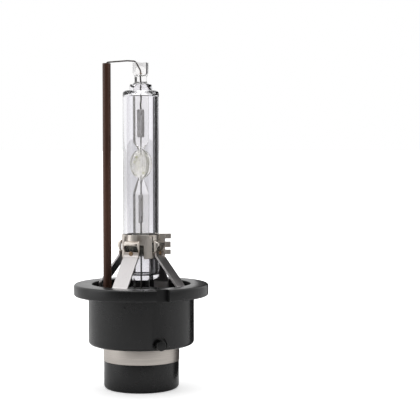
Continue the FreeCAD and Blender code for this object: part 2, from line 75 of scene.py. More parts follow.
def radius_of(node):
    """Largest distance from the axis of a node that is round about it."""
    low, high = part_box(node)
    return max(high.x, -low.x)


def around(azimuth, distance, height):
    """Point at an azimuth in degrees, a distance from the axis and a height."""
    angle = math.radians(azimuth)
    return Vector((distance * math.sin(angle), -distance * math.cos(angle), height))


def facing(azimuth):
    """Turns the +X direction to an azimuth about the lamp axis."""
    return Matrix.Rotation(math.radians(azimuth - 90.0), 4, "Z")


def arc(centre, radius, start, end, steps):
    """Points of an arc in the (radius, height) plane, angles in degrees."""
    points = []
    for step in range(steps + 1):
        angle = math.radians(start + (end - start) * step / steps)
        points.append((centre[0] + radius * math.cos(angle), centre[1] + radius * math.sin(angle)))
    return points


def soften(corners, steps=5):
    """Outline whose corners (across, up, rounding) are replaced by tangent arcs."""
    points = []
    count = len(corners)
    for index in range(count):
        here = Vector(corners[index][:2])
        rounding = corners[index][2]
        if rounding <= 0:
            points.append(tuple(here))
            continue
        before = (Vector(corners[index - 1][:2]) - here)
        after = (Vector(corners[(index + 1) % count][:2]) - here)
        half = before.angle(after) / 2
        reach = min(rounding / math.tan(half), 0.48 * before.length, 0.48 * after.length)
        rounding = reach * math.tan(half)
        centre = here + (before.normalized() + after.normalized()).normalized() * (
            rounding / math.sin(half))
        start = here + before.normalized() * reach
        end = here + after.normalized() * reach
        from_centre, to_centre = start - centre, end - centre
        sweep = from_centre.angle_signed(to_centre)
        base = math.atan2(from_centre.y, from_centre.x)
        for step in range(steps + 1):
            angle = base - sweep * step / steps
            points.append((centre.x + rounding * math.cos(angle),
                           centre.y + rounding * math.sin(angle)))
    return points


def new_piece(name, mesh, material, smooth=True, replaces=()):
    """Object from a mesh, riding on the lamp's one body."""
    piece = bpy.data.objects.new(name, mesh)
    bpy.context.scene.collection.objects.link(piece)
    mesh.materials.append(material)
    for polygon in mesh.polygons:
        polygon.use_smooth = smooth
    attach(piece, "root")
    if replaces:
        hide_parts(*replaces)
    return piece


def finish_mesh(name, bm):
    mesh = bpy.data.meshes.new(name)
    bmesh.ops.remove_doubles(bm, verts=bm.verts, dist=1e-7)
    bmesh.ops.recalc_face_normals(bm, faces=bm.faces)
    bm.to_mesh(mesh)
    bm.free()
    return mesh


def turned_mesh(name, outline, segments=ROUND, wobble=None):
    """Closed solid of revolution from a closed (radius, height) outline."""
    bm = bmesh.new()
    rings = []
    for radius, height in outline:
        if radius < 1e-9:
            rings.append([bm.verts.new((0, 0, height))])
            continue
        ring = []
        for index in range(segments):
            angle = 2 * math.pi * index / segments
            reach = radius + (wobble(radius, height, angle) if wobble else 0.0)
            ring.append(bm.verts.new((reach * math.cos(angle), reach * math.sin(angle), height)))
        rings.append(ring)
    for one, two in zip(rings, rings[1:] + rings[:1]):
        if len(one) == 1 and len(two) == 1:
            continue
        for index in range(segments):
            after = (index + 1) % segments
            if len(one) == 1:
                bm.faces.new((one[0], two[index], two[after]))
            elif len(two) == 1:
                bm.faces.new((one[index], two[0], one[after]))
            else:
                bm.faces.new((one[index], two[index], two[after], one[after]))
    return finish_mesh(name, bm)


def bevelled(piece, width, segments=3, angle=30.0):
    """Round a piece's sharp edges, and keep its flat faces flat in shading."""
    modifier = piece.modifiers.new("edges", "BEVEL")
    modifier.width = width
    modifier.segments = segments
    modifier.limit_method = "ANGLE"
    modifier.angle_limit = math.radians(angle)
    modifier.harden_normals = True
    return piece


# ---------------------------------------------------------------- material helpers

class Shader:
    """A new material whose nodes are made and joined in a few words."""

    def __init__(self, name):
        self.material = bpy.data.materials.new(name)
        self.material.use_nodes = True
        self.tree = self.material.node_tree
        self.tree.nodes.clear()
        self.output = self.add("ShaderNodeOutputMaterial")
        self.place = self.add("ShaderNodeNewGeometry").outputs["Position"]

    def add(self, kind, **settings):
        node = self.tree.nodes.new(kind)
        for key, value in settings.items():
            if hasattr(node, key):
                setattr(node, key, value)
            else:
                node.inputs[key.replace("_", " ")].default_value = value
        return node

    def link(self, source, target):
        self.tree.links.new(source, target)

    def principled(self, **sockets):
        node = self.add("ShaderNodeBsdfPrincipled")
        for key, value in sockets.items():
            node.inputs[key.replace("_", " ")].default_value = value
        self.link(node.outputs["BSDF"], self.output.inputs["Surface"])
        return node

    def stretched(self, scale):
        """Position scaled differently along each axis."""
        node = self.add("ShaderNodeMapping")
        self.link(self.place, node.inputs["Vector"])
        node.inputs["Scale"].default_value = scale
        return node.outputs["Vector"]

    def grain(self, scale, detail=3.0, roughness=0.5, vector=None):
        """Noise of features about 1/scale metres across."""
        node = self.add("ShaderNodeTexNoise")
        node.inputs["Scale"].default_value = scale
        node.inputs["Detail"].default_value = detail
        node.inputs["Roughness"].default_value = roughness
        self.link(vector or self.place, node.inputs["Vector"])
        return node.outputs["Fac"]

    def ramp(self, source, *stops):
        """Colour ramp of (place, grey or colour) stops."""
        node = self.add("ShaderNodeValToRGB")
        elements = node.color_ramp.elements
        while len(elements) < len(stops):
            elements.new(0.5)
        for element, (place, value) in zip(elements, stops):
            element.position = place
            colour = (value, value, value) if isinstance(value, (int, float)) else value
            element.color = (*colour, 1.0)
        self.link(source, node.inputs["Fac"])
        return node.outputs["Color"]

    def bump(self, source, target, strength, distance):
        node = self.add("ShaderNodeBump")
        node.inputs["Strength"].default_value = strength
        node.inputs["Distance"].default_value = distance
        self.link(source, node.inputs["Height"])
        self.link(node.outputs["Normal"], target)
        return node

    def mix(self, share, first, second):
        """Blend of two colours by a share, each a socket or a colour."""
        node = self.add("ShaderNodeMix", data_type="RGBA")
        slots = [s for s in node.inputs if s.enabled]
        for socket, value in zip(slots, (share, first, second)):
            if isinstance(value, bpy.types.NodeSocket):
                self.link(value, socket)
            elif isinstance(value, (int, float)):
                socket.default_value = value
            else:
                socket.default_value = (*value, 1.0)
        return [s for s in node.outputs if s.enabled][0]


# ---------------------------------------------------------------- materials

WELL_EDGE = 0.01135             # black mouldings nearer the axis than this stand in the well
CLAMP_INNER_FACE = 0.0042       # the clamp's sheet is painted near black as shade nearer the axis than this


def black_moulding(name, base, rough_low, rough_high):
    """Black moulded plastic: faint mottling, a fine skin, uneven gloss, and reflection turned down
    in the well as painted shade.
    """
    shader = Shader(name)
    surface = shader.principled(IOR=1.5)
    height = shader.add("ShaderNodeSeparateXYZ")
    shader.link(shader.place, height.inputs["Vector"])
    away = shader.add("ShaderNodeVectorMath", operation="LENGTH")
    shader.link(shader.stretched((1.0, 1.0, 0.0)), away.inputs[0])
    inside = shader.add("ShaderNodeMath", operation="LESS_THAN")
    inside.inputs[1].default_value = WELL_EDGE
    shader.link(away.outputs["Value"], inside.inputs[0])
    sunk = shader.add("ShaderNodeMath", operation="LESS_THAN")
    sunk.inputs[1].default_value = 0.004
    shader.link(height.outputs["Z"], sunk.inputs[0])
    above = shader.add("ShaderNodeMath", operation="GREATER_THAN")
    above.inputs[1].default_value = -0.0095
    shader.link(height.outputs["Z"], above.inputs[0])
    well = shader.add("ShaderNodeMath", operation="MULTIPLY")
    shader.link(inside.outputs["Value"], well.inputs[0])
    shader.link(sunk.outputs["Value"], well.inputs[1])
    well_shade = shader.add("ShaderNodeMath", operation="MULTIPLY")
    shader.link(well.outputs["Value"], well_shade.inputs[0])
    shader.link(above.outputs["Value"], well_shade.inputs[1])
    # painted shade: the well's reflection is turned down so the recess looks shaded
    shader.link(shader.ramp(well_shade.outputs["Value"], (0.0, 0.40), (1.0, 0.08)),
                surface.inputs["Specular IOR Level"])
    tone = shader.grain(420.0, 5.0, 0.6)
    shader.link(shader.ramp(tone, (0.3, tuple(0.75 * c for c in base)), (0.75, base)),
                surface.inputs["Base Color"])
    gloss = shader.grain(160.0, 6.0, 0.65)
    shader.link(shader.ramp(gloss, (0.3, rough_low), (0.75, rough_high)),
                surface.inputs["Roughness"])
    shader.bump(shader.grain(2600.0, 3.0, 0.6), surface.inputs["Normal"], 0.12, 0.00008)
    return shader.material


def sheet_steel(name, dark, light, roughness, stain=None, stain_low=0.52, painted_shade_inside=None,
                heat_tint=None):
    """Pressed sheet steel with rolling streaks, an optional heat tint and an optional inner face
    painted dark as shade.
    """
    shader = Shader(name)
    surface = shader.principled(Metallic=1.0)
    streaks = shader.grain(900.0, 4.0, 0.6, shader.stretched((1.0, 1.0, 0.12)))
    colour = shader.ramp(streaks, (0.3, dark), (0.7, light))
    if stain:
        blotch = shader.ramp(shader.grain(420.0, 4.0, 0.6), (stain_low, 0.0), (0.75, 0.8))
        colour = shader.mix(blotch, colour, stain)
    if heat_tint:
        split = shader.add("ShaderNodeSeparateXYZ")
        shader.link(shader.place, split.inputs["Vector"])
        welded = shader.add("ShaderNodeMapRange")
        for key, value in (("From Min", 0.0060), ("From Max", 0.0074), ("To Max", 0.65)):
            welded.inputs[key].default_value = value
        shader.link(split.outputs["Z"], welded.inputs["Value"])
        colour = shader.mix(welded.outputs["Result"], colour, heat_tint)
    # painted shade: faces nearer the axis than the given reach are coloured near black, standing in
    # for the shade inside the ring
    if painted_shade_inside:
        flat = shader.stretched((1.0, 1.0, 0.0))
        away = shader.add("ShaderNodeVectorMath", operation="LENGTH")
        shader.link(flat, away.inputs[0])
        inner = shader.add("ShaderNodeMath", operation="LESS_THAN")
        inner.inputs[1].default_value = painted_shade_inside
        shader.link(away.outputs["Value"], inner.inputs[0])
        colour = shader.mix(inner.outputs["Value"], colour, (0.07, 0.06, 0.05))
    shader.link(colour, surface.inputs["Base Color"])
    shader.link(shader.ramp(streaks, (0.3, roughness * 1.15), (0.7, roughness * 0.9)),
                surface.inputs["Roughness"])
    shader.bump(streaks, surface.inputs["Normal"], 0.08, 0.00004)
    return shader.material


def brushed_band(name):
    """Steel band brushed round its girth: long thin scratches that follow the ring."""
    shader = Shader(name)
    surface = shader.principled(Metallic=1.0, Anisotropic=0.6)
    lines = shader.grain(60.0, 6.0, 0.75, shader.stretched((1.0, 1.0, 260.0)))
    shader.link(shader.ramp(lines, (0.25, (0.40, 0.37, 0.34)), (0.7, (0.66, 0.61, 0.565))),
                surface.inputs["Base Color"])
    shader.link(shader.ramp(lines, (0.3, 0.42), (0.7, 0.26)), surface.inputs["Roughness"])
    shader.bump(lines, surface.inputs["Normal"], 0.35, 0.00006)
    return shader.material


def lets_light_in(shader, surface):
    """Glass that bends what is seen through it but doesn't stop light on its way in."""
    ray = shader.add("ShaderNodeLightPath")
    clear = shader.add("ShaderNodeBsdfTransparent")
    blend = shader.add("ShaderNodeMixShader")
    shader.link(ray.outputs["Is Shadow Ray"], blend.inputs["Fac"])
    shader.link(surface, blend.inputs[1])
    shader.link(clear.outputs["BSDF"], blend.inputs[2])
    shader.link(blend.outputs["Shader"], shader.output.inputs["Surface"])


FILM_SPAN = 0.05                # the film's ramp runs from the reference plane to this height
CLAMP_SHADE_TINT = (0.30, 0.295, 0.27)     # painted shade: dark tint of the envelope's sealed end, inside the clamp


def clear_quartz(name, tint, waviness):
    """Clear drawn quartz with faint draw lines, tinted dark as painted shade where the clamp grips
    it.
    """
    shader = Shader(name)
    surface = shader.principled(Transmission_Weight=1.0, IOR=1.46, Roughness=0.0)
    split = shader.add("ShaderNodeSeparateXYZ")
    shader.link(shader.place, split.inputs["Vector"])
    rise = shader.add("ShaderNodeMapRange")
    rise.inputs["From Max"].default_value = FILM_SPAN
    shader.link(split.outputs["Z"], rise.inputs["Value"])
    # painted shade: the glass darkens over the clamp's height, so the clamp's windows and gaps look
    # shaded
    shader.link(shader.ramp(rise.outputs["Result"], (0.128, tint), (0.145, CLAMP_SHADE_TINT), (0.212, CLAMP_SHADE_TINT),
                            (0.22, tint)), surface.inputs["Base Color"])
    lets_light_in(shader, surface.outputs["BSDF"])
    lines = shader.grain(500.0, 2.0, 0.5, shader.stretched((1.0, 1.0, 0.06)))
    shader.bump(lines, surface.inputs["Normal"], waviness, 0.0001)
    return shader.material


FILM_BY_HEIGHT = ((0.08, 0.0), (0.14, 0.12), (0.472, 0.12), (0.504, 0.36), (0.58, 0.36),
                  (0.616, 0.12), (0.86, 0.12), (0.92, 0.01))


def burner_quartz(name):
    """Quartz of the burner: clear but milky in streaks, with a creamy film in the bulb."""
    shader = Shader(name)
    clear = shader.add("ShaderNodeBsdfPrincipled")
    clear.inputs["Transmission Weight"].default_value = 1.0
    clear.inputs["IOR"].default_value = 1.30
    clear.inputs["Roughness"].default_value = 0.0
    clear.inputs["Base Color"].default_value = (0.985, 0.98, 0.98, 1.0)
    lines = shader.grain(700.0, 3.0, 0.6, shader.stretched((1.0, 1.0, 0.10)))
    shader.bump(lines, clear.inputs["Normal"], 0.16, 0.0001)
    film = shader.add("ShaderNodeBsdfTranslucent")
    cloud = shader.grain(900.0, 4.0, 0.6)
    shader.link(shader.ramp(cloud, (0.35, (0.90, 0.90, 0.74)), (0.6, (0.98, 0.965, 0.92))),
                film.inputs["Color"])
    split = shader.add("ShaderNodeSeparateXYZ")
    shader.link(shader.place, split.inputs["Vector"])
    rise = shader.add("ShaderNodeMapRange")
    rise.inputs["From Max"].default_value = FILM_SPAN
    shader.link(split.outputs["Z"], rise.inputs["Value"])
    strength = shader.ramp(rise.outputs["Result"], *FILM_BY_HEIGHT)
    milk = shader.ramp(lines, (0.4, 0.3), (0.7, 1.3))
    share = shader.add("ShaderNodeMath", operation="MULTIPLY")
    shader.link(strength, share.inputs[0])
    shader.link(milk, share.inputs[1])
    blend = shader.add("ShaderNodeMixShader")
    shader.link(share.outputs["Value"], blend.inputs["Fac"])
    shader.link(clear.outputs["BSDF"], blend.inputs[1])
    shader.link(film.outputs["BSDF"], blend.inputs[2])
    lets_light_in(shader, blend.outputs["Shader"])
    return shader.material


def foil_metal(name):
    """Etched molybdenum foil: dull grey with lighter lengthwise streaks."""
    shader = Shader(name)
    surface = shader.principled(Metallic=0.6)
    streaks = shader.grain(1500.0, 4.0, 0.6, shader.stretched((1.0, 1.0, 0.15)))
    shader.link(shader.ramp(streaks, (0.35, (0.48, 0.47, 0.465)), (0.65, (0.74, 0.73, 0.73))),
                surface.inputs["Base Color"])
    shader.link(shader.ramp(streaks, (0.3, 0.5), (0.7, 0.35)), surface.inputs["Roughness"])
    shader.bump(streaks, surface.inputs["Normal"], 0.3, 0.0001)
    return shader.material


def wire_metal(name, dark, light, roughness):
    """Drawn wire with oxide streaks."""
    shader = Shader(name)
    surface = shader.principled(Metallic=1.0)
    tone = shader.grain(1500.0, 4.0, 0.6)
    shader.link(shader.ramp(tone, (0.35, dark), (0.7, light)), surface.inputs["Base Color"])
    shader.link(shader.ramp(tone, (0.3, roughness), (0.7, roughness * 1.5)),
                surface.inputs["Roughness"])
    return shader.material


def brown_ceramic(name):
    """Unglazed brown ceramic with draw marks along the tube."""
    shader = Shader(name)
    surface = shader.principled(IOR=1.6, Specular_IOR_Level=0.3)
    marks = shader.grain(900.0, 5.0, 0.65, shader.stretched((1.0, 1.0, 0.08)))
    shader.link(shader.ramp(marks, (0.3, (0.055, 0.021, 0.011)), (0.72, (0.115, 0.046, 0.026))),
                surface.inputs["Base Color"])
    shader.link(shader.ramp(marks, (0.3, 0.38), (0.7, 0.55)), surface.inputs["Roughness"])
    shader.bump(shader.grain(3500.0), surface.inputs["Normal"], 0.12, 0.00005)
    return shader.material


def salt_crust(name):
    """Crystalline yellow-green halide salt."""
    shader = Shader(name)
    surface = shader.principled(IOR=1.6, Roughness=0.5, Transmission_Weight=0.35)
    tone = shader.grain(5200.0, 4.0, 0.6)
    shader.link(shader.ramp(tone, (0.35, (0.55, 0.57, 0.27)), (0.65, (0.82, 0.82, 0.55))),
                surface.inputs["Base Color"])
    shader.bump(tone, surface.inputs["Normal"], 0.5, 0.0001)
    return shader.material


BLACK = black_moulding("black_moulding", (0.012, 0.012, 0.0125), 0.24, 0.38)
CAP_BLACK = black_moulding("cap_moulding", (0.011, 0.011, 0.0115), 0.22, 0.34)
PIN_BLACK = black_moulding("pin_moulding", (0.006, 0.006, 0.006), 0.25, 0.38)
SLEEVE = black_moulding("sleeve_plastic", (0.005, 0.005, 0.005), 0.5, 0.65)
BAND = brushed_band("contact_steel")
# the clamp's inner face is painted near black as shade
CLAMP = sheet_steel("clamp_steel", (0.66, 0.605, 0.55), (0.86, 0.80, 0.735), 0.30,
                    (0.30, 0.215, 0.15), painted_shade_inside=CLAMP_INNER_FACE)
LEG = sheet_steel("leg_steel", (0.78, 0.75, 0.75), (0.83, 0.80, 0.80), 0.30,
                  heat_tint=(0.40, 0.31, 0.24))
WELD = sheet_steel("weld_metal", (0.20, 0.12, 0.07), (0.44, 0.31, 0.20), 0.35)
BRASS = sheet_steel("contact_brass", (0.60, 0.46, 0.24), (0.80, 0.66, 0.40), 0.25)
GLASS = clear_quartz("envelope_glass", (0.945, 0.94, 0.966), 0.03)
QUARTZ = burner_quartz("quartz")
FOIL = foil_metal("molybdenum")
TUNGSTEN = wire_metal("tungsten", (0.16, 0.16, 0.16), (0.28, 0.28, 0.28), 0.35)
LEAD = wire_metal("lead_metal", (0.06, 0.06, 0.06), (0.18, 0.17, 0.16), 0.4)
WIRE = wire_metal("wire_metal", (0.07, 0.065, 0.06), (0.20, 0.18, 0.17), 0.38)
SALT = salt_crust("salt")
CERAMIC = brown_ceramic("brown_ceramic")

SLOT_MATERIAL = {
    "black_moulding": BLACK, "cap_moulding": CAP_BLACK, "sleeve_plastic": SLEEVE,
    "contact_steel": BAND, "contact_brass": BRASS, "clamp_steel": CLAMP, "leg_steel": LEG,
    "weld_metal": WELD, "envelope_glass": GLASS, "quartz": QUARTZ, "molybdenum": FOIL,
    "tungsten": TUNGSTEN, "lead_metal": LEAD, "wire_metal": WIRE, "salt": SALT,
    "brown_ceramic": CERAMIC,
}
NODE_SLOT = {row["node"]: row["material_slot"] for row in frame["record"]["subparts"]}


def dress_cad_nodes():
    """Give every CAD node that stays in view the finished material of its slot."""
    for name, piece in NODES.items():
        piece.data.materials.clear()
        piece.data.materials.append(SLOT_MATERIAL[NODE_SLOT[name]])


# ---------------------------------------------------------------- turned pieces

def plain_ring(name, node, corners, material, segments=ROUND):
    """Turned piece from corners (radius, height, rounding) in millimetres."""
    outline = [(r * MM, z * MM) for r, z in soften(corners)]
    return new_piece(name, turned_mesh(name, outline, segments), material, True, (node,))


def make_envelope():
    """Outer glass tube, rounded in at both ends and fused onto the stems."""
    corners = [
        (1.90, 0.9, 0.0), (4.125, 0.9, 2.0), (4.125, 44.0, 1.5), (2.62, 44.0, 0.25),
        (2.50, 45.4, 0.22), (1.90, 45.4, 0.0), (1.90, 43.4, 0.3), (3.28, 43.1, 1.1),
        (3.28, 1.9, 1.3), (1.90, 2.3, 0.3),
    ]
    return plain_ring("envelope", "outer_envelope", corners, GLASS, 128)


BULB_CENTRE, BULB_RADIUS, BULB_HALF = 27.3, 2.55, 3.3
CHAMBER_RADIUS, CHAMBER_HALF = 1.55, 3.05


def make_arc_tube():
    """Quartz burner: two stems, the oval bulb with its hollow chamber, and the open end."""
    corners = [(0.0, -7.0, 0.0), (1.86, -7.0, 0.5), (1.86, 20.6, 3.0), (0.98, 23.3, 1.2)]
    for step in range(2, 27):
        angle = math.pi * (step / 28.0) - math.pi / 2
        corners.append((BULB_RADIUS * math.cos(angle) ** 0.92,
                        BULB_CENTRE + BULB_HALF * math.sin(angle), 0.0))
    corners += [
        (1.0, 31.1, 0.8), (1.80, 32.2, 1.0), (1.86, 45.5, 0.2), (1.42, 45.9, 0.5),
        (1.42, 47.2, 0.6), (1.80, 48.0, 0.8), (1.80, 50.3, 0.1), (1.36, 50.3, 0.1),
        (1.36, 47.6, 0.9), (0.0, 47.0, 0.0),
    ]
    outline = [(r * MM, z * MM) for r, z in soften(corners)]
    mesh = turned_mesh("arc_tube_skin", outline)
    hollow = [(0.0, 22.7 * MM), (0.16 * MM, 22.8 * MM), (0.34 * MM, 23.8 * MM)]
    for step in range(2, 19):
        angle = math.pi * step / 20.0 - math.pi / 2
        hollow.append((CHAMBER_RADIUS * math.cos(angle) * MM,
                       (BULB_CENTRE + CHAMBER_HALF * math.sin(angle)) * MM))
    hollow += [(0.28 * MM, 30.7 * MM), (0.16 * MM, 31.4 * MM), (0.0, 31.45 * MM)]
    inner = turned_mesh("arc_tube_chamber", hollow, 64)
    bm = bmesh.new()
    bm.from_mesh(inner)
    bmesh.ops.reverse_faces(bm, faces=bm.faces)     # the cavity's skin faces into the cavity
    bm.from_mesh(mesh)
    joined = bpy.data.meshes.new("arc_tube_quartz")
    bm.to_mesh(joined)
    bm.free()
    return new_piece("arc_tube_quartz", joined, QUARTZ, True, ("arc_tube",))


def make_rear_cap():
    corners = [
        (0.4, -10.52, 0.0), (8.26, -10.52, 0.1), (8.26, -17.6, 0.0), (8.6, -17.6, 0.12),
        (8.6, -24.0, 1.4), (6.9, -24.0, 0.3), (6.9, -13.5, 0.3), (2.6, -13.5, 0.3),
        (2.6, -15.5, 0.2), (0.92, -15.5, 0.1), (0.92, -13.5, 0.0), (0.4, -13.5, 0.0),
    ]
    return plain_ring("cap", "rear_cap", corners, CAP_BLACK, 128)


def make_band():
    """Contact band with softly rolled edges."""
    corners = [(8.3, -17.6, 0.08), (8.7, -17.6, 0.14), (8.7, -13.95, 0.14), (8.3, -13.95, 0.08)]
    return plain_ring("band", "contact_band", corners, BAND, 160)


def make_ceramic_tube():
    """Brown tube with broken edges, standing on the return wire's line."""
    corners = [(0.3, -10.3, 0.06), (0.93, -10.3, 0.12), (0.93, 50.0, 0.12), (0.3, 50.0, 0.06)]
    piece = plain_ring("ceramic", "ceramic_tube", corners, CERAMIC, 48)
    piece.data.transform(Matrix.Translation(around(WIRE_AZIMUTH, WIRE_OFFSET * MM, 0.0)))
    return piece


def make_sleeve():
    corners = [
        (1.95, -10.48, 0.1), (3.18, -10.48, 0.15), (3.18, -8.98, 0.0), (4.2, -8.98, 0.12),
        (4.2, -1.2, 0.35), (1.95, -1.2, 0.2),
    ]
    return plain_ring("sleeve", "insulating_sleeve", corners, SLEEVE)


def make_centre_contact():
    """Brass pin with a stub above its collar and a drawn nose."""
    corners = [
        (0.22, -21.5, 0.0), (0.8, -21.5, 0.15), (1.25, -21.0, 0.3), (1.25, -16.0, 0.15),
        (2.0, -16.0, 0.12), (2.0, -15.52, 0.12), (0.9, -15.52, 0.05), (0.9, -13.55, 0.1),
        (0.22, -13.55, 0.0),
    ]
    return plain_ring("contact", "centre_contact", corners, BRASS, 64)


# ---------------------------------------------------------------- moulded base

def cutter_box(inner, outer, width, bottom, top, azimuth):
    """Box that reaches from one distance to another along an azimuth."""
    bm = bmesh.new()
    bmesh.ops.create_cube(bm, size=1.0)
    size = Matrix.Diagonal(((outer - inner) * MM, width * MM, (top - bottom) * MM, 1.0))
    centre = Vector(((inner + outer) / 2, 0.0, (bottom + top) / 2)) * MM
    bm.transform(facing(azimuth) @ Matrix.Translation(centre) @ size)
    return bm


def cutter_rod(radius, inner, outer, height, azimuth, segments=40):
    """Rod along an azimuth, from one distance to another."""
    bm = bmesh.new()
    bmesh.ops.create_cone(bm, cap_ends=True, segments=segments, radius1=radius * MM,
                          radius2=radius * MM, depth=(outer - inner) * MM)
    lay = Matrix.Rotation(math.radians(90.0), 4, "Y")
    centre = Vector(((inner + outer) / 2, 0.0, height)) * MM
    bm.transform(facing(azimuth) @ Matrix.Translation(centre) @ lay)
    return bm


def cutter_post(radius, bottom, top, distance, azimuth, segments=40):
    bm = bmesh.new()
    bmesh.ops.create_cone(bm, cap_ends=True, segments=segments, radius1=radius * MM,
                          radius2=radius * MM, depth=(top - bottom) * MM)
    place = around(azimuth, distance * MM, (bottom + top) / 2 * MM)
    bm.transform(Matrix.Translation(place))
    return bm


def baked(piece):
    """Turn a piece's modifiers into its mesh."""
    bpy.context.view_layer.update()
    graph = bpy.context.evaluated_depsgraph_get()
    mesh = bpy.data.meshes.new_from_object(piece.evaluated_get(graph))
    piece.modifiers.clear()
    piece.data = mesh
    return piece


def carve(mesh, cutters):
    """Take cutters away from a mesh, one boolean for them all."""
    body = bpy.data.objects.new("carve_body", mesh)
    bpy.context.scene.collection.objects.link(body)
    tools = []
    for index, bm in enumerate(cutters):
        tool_mesh = bpy.data.meshes.new("cutter_%d" % index)
        bmesh.ops.recalc_face_normals(bm, faces=bm.faces)
        bm.to_mesh(tool_mesh)
        bm.free()
        tool = bpy.data.objects.new("cutter_%d" % index, tool_mesh)
        bpy.context.scene.collection.objects.link(tool)
        tools.append(tool)
        step = body.modifiers.new("cut_%d" % index, "BOOLEAN")
        step.operation = "DIFFERENCE"
        step.solver = "EXACT"
        step.object = tool
    baked(body)
    mesh = body.data
    for item in tools + [body]:
        bpy.data.objects.remove(item)
    return mesh


NOTCH_AZIMUTH = 21.3
PIN_AZIMUTHS = (22.8, 202.8)
PIN_HEIGHT = -12.6
MARK_AZIMUTH, MARK_HEIGHT = 70.5, -5.65     # faint upright pad on the body's right
GATE_AZIMUTH, GATE_HEIGHT = -14.6, -4.2     # trimmed stub of the moulding gate


def make_base_shell():
    """Flange, open well and round body, with the notch, recesses, slots and small marks."""
    corners = [
        (3.2, -9.0, 0.15), (11.3, -9.0, 0.3), (11.3, 0.0, 0.22), (15.4, 0.0, 0.5),
        (15.4, -2.7, 0.45), (12.08, -2.7, 0.25), (12.08, -13.9, 0.9), (8.32, -13.9, 0.15),
        (8.32, -10.5, 0.0), (3.2, -10.5, 0.15),
    ]
    outline = [(r * MM, z * MM) for r, z in soften(corners, 6)]
    mesh = turned_mesh("base_turned", outline, 224)
    cutters = [cutter_box(13.8, 17.0, 2.9, -2.9, 0.2, NOTCH_AZIMUTH),
               cutter_post(0.95, -12.0, -8.0, WIRE_OFFSET, WIRE_AZIMUTH)]
    for azimuth in LEG_AZIMUTHS.values():
        cutters.append(cutter_box(LEG_FOOT - 0.04, LEG_FOOT + LEG_THICK + 0.04, LEG_WIDTH + 0.08,
                                  -11.54, -8.8, azimuth))
    for azimuth in PIN_AZIMUTHS:
        cutters.append(cutter_rod(1.75, 11.38, 13.0, PIN_HEIGHT, azimuth, 48))
        cutters.append(cutter_rod(1.15, 9.58, 12.0, PIN_HEIGHT, azimuth, 40))
    base = new_piece("base", carve(mesh, cutters), BLACK, True, ("base_shell",))
    bevelled(base, 0.10 * MM, 3, 32.0)
    mark = bmesh.new()
    bmesh.ops.create_cube(mark, size=1.0)
    pad = Matrix.Diagonal((0.5 * MM, 0.75 * MM, 2.9 * MM, 1.0))
    mark.transform(facing(MARK_AZIMUTH) @ Matrix.Translation(
        Vector((11.93, 0.0, MARK_HEIGHT)) * MM) @ pad)
    raised = new_piece("base_mark", finish_mesh("base_mark", mark), BLACK, False,
                       ("base_shell",))
    bevelled(raised, 0.06 * MM, 3)
    gate = cutter_rod(0.28, 11.6, 12.13, GATE_HEIGHT, GATE_AZIMUTH, 28)
    stub = new_piece("base_gate", finish_mesh("base_gate", gate), BLACK, True,
                     ("base_shell",))
    bevelled(stub, 0.04 * MM, 3)
    return base


def make_bayonet_pins():
    """Two pins with rounded heads in the foot of the body."""
    whole = bmesh.new()
    outline = [(r * MM, z * MM) for r, z in soften(
        [(0.0, 9.6, 0.0), (1.13, 9.6, 0.08), (1.13, 13.3, 0.22), (0.0, 13.34, 0.0)])]
    one = turned_mesh("pin_turned", outline, 48)
    lay = Matrix.Rotation(math.radians(90.0), 4, "Y")
    for azimuth in PIN_AZIMUTHS:
        copy = one.copy()
        copy.transform(facing(azimuth) @ Matrix.Translation((0.0, 0.0, PIN_HEIGHT * MM)) @ lay)
        whole.from_mesh(copy)
    mesh = bpy.data.meshes.new("pins")
    whole.to_mesh(mesh)
    whole.free()
    return new_piece("pins", mesh, PIN_BLACK, True, ("bayonet_pins",))


# ---------------------------------------------------------------- straps and clamp

LEG_AZIMUTHS = {"front_leg": -25.0, "right_leg": 65.0, "rear_leg": 155.0, "left_leg": -115.0}
LEG_WIDTH, LEG_THICK = 3.8, 0.45
LEG_INNER, LEG_TOP, LEG_BEND = 4.45, 7.5, 6.5
LEG_FOOT, LEG_FOOT_BEND, LEG_BOTTOM = 9.75, -0.3, -11.5


def make_legs():
    """Four bent straps with rolled bends and broken edges."""
    rise, run = LEG_BEND - LEG_FOOT_BEND, LEG_FOOT - LEG_INNER
    mitre = LEG_THICK * math.tan(math.atan2(run, rise) / 2)
    side = soften([
        (LEG_INNER, LEG_TOP, 0.05), (LEG_INNER, LEG_BEND, 0.5),
        (LEG_FOOT, LEG_FOOT_BEND, 0.9), (LEG_FOOT, LEG_BOTTOM, 0.0),
        (LEG_FOOT + LEG_THICK, LEG_BOTTOM, 0.0),
        (LEG_FOOT + LEG_THICK, LEG_FOOT_BEND + mitre, 0.5),
        (LEG_INNER + LEG_THICK, LEG_BEND + mitre, 0.9), (LEG_INNER + LEG_THICK, LEG_TOP, 0.12),
    ], 6)
    for node, azimuth in LEG_AZIMUTHS.items():
        bm = bmesh.new()
        faces = []
        rims = []
        for across in (-LEG_WIDTH / 2, LEG_WIDTH / 2):
            rims.append([bm.verts.new((r * MM, across * MM, z * MM)) for r, z in side])
        count = len(side)
        for index in range(count):
            after = (index + 1) % count
            bm.faces.new((rims[0][index], rims[0][after], rims[1][after], rims[1][index]))
        bm.faces.new(rims[0])
        bm.faces.new(rims[1])
        bm.transform(facing(azimuth))
        piece = new_piece(node + "_strap", finish_mesh(node + "_strap", bm), LEG, True,
                          (node,))
        bevelled(piece, 0.07 * MM, 3, 35.0)


# Control columns of a quarter of the clamp, in degrees from a leg's azimuth.
HOOD_COLUMNS = (-25.4, -20.0, -12.0, -4.0, 4.0, 12.0, 18.0, 22.5)
TONGUE_COLUMNS = (36.0, 42.5, 49.0, 55.5, 61.0)
SLIT_END = 64.6
CLAMP_ROWS = (11.3, 11.0, 10.4, 9.5, 9.0, 8.2, 7.4, 6.65, 5.9)
CLAMP_OUTER, CLAMP_SHEET = 4.43, 0.28
GAP_TOP, SLIT_TOP, HOLE_TOP, HOLE_BOTTOM = 9.0, 11.0, 9.5, 7.4
TONGUE_CURL = 0.13


